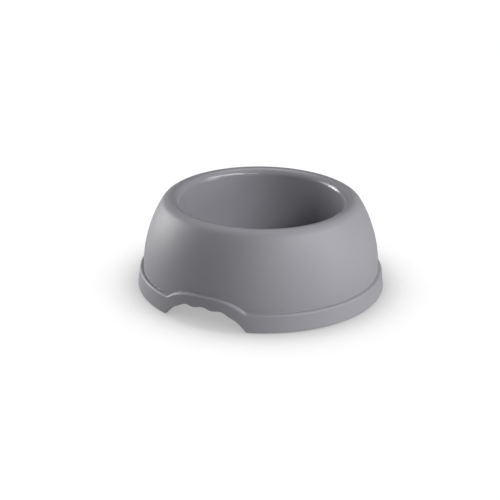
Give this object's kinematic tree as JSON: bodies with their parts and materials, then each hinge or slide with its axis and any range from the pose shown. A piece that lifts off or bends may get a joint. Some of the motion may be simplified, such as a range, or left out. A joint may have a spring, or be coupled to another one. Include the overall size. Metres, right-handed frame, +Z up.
{
  "type": "pet bowl",
  "caption": "Round moulded plastic pet bowl with a domed skirt, a stepped foot band, finger arches for lifting and rubber feet.",
  "frame": {"origin": "on the floor, under the middle of the bowl", "axes": "+Z up out of the bowl; the finger arches face -Y and +Y; +X runs across the bowl between the arches"},
  "size_m": [0.21, 0.2062, 0.077],
  "materials": {
    "grey_plastic": "satin moulded polypropylene, one colour all over",
    "dark_rubber": "matt soft rubber"
  },
  "bodies": {
    "root": {"shell": "grey_plastic", "foot_1": "dark_rubber", "foot_2": "dark_rubber", "foot_3": "dark_rubber", "foot_4": "dark_rubber"}
  },
  "joints": []
}
